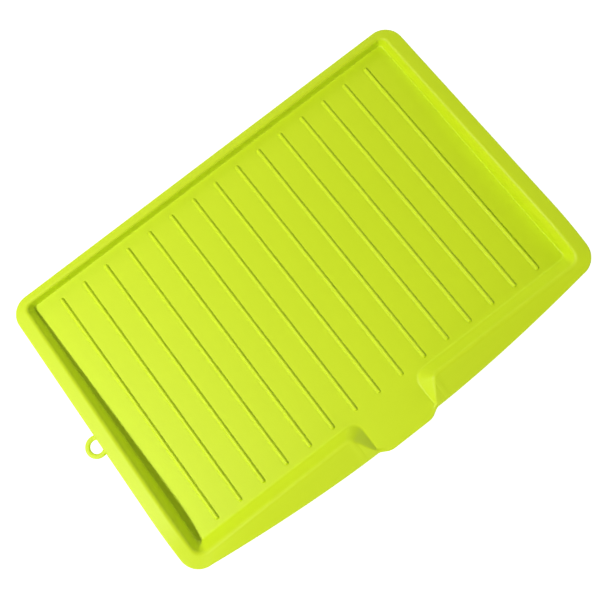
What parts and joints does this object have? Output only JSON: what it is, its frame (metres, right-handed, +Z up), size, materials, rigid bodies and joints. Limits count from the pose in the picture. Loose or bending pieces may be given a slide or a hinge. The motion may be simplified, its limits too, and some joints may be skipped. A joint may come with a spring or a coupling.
{
  "type": "dish drainer tray",
  "caption": "Lime plastic sink-side dish drainer tray with raised drain ribs, a sloping floor, a pouring spout, a hanging loop and push-in feet.",
  "frame": {"origin": "centre of the bounding box on the worktop plane under the feet", "axes": "+X across the tray to the right seen from the spout, the hanging loop at -X; +Y from the spout to the back rim; +Z up"},
  "size_m": [0.4322, 0.2952, 0.0272],
  "materials": {
    "lime_polypropylene": "satin moulded polypropylene",
    "foot_elastomer": "matte thermoplastic elastomer"
  },
  "bodies": {
    "root": {"tray": "lime_polypropylene", "foot_front_left": "foot_elastomer", "foot_front_right": "foot_elastomer", "foot_rear_left": "foot_elastomer", "foot_rear_right": "foot_elastomer"}
  },
  "joints": []
}
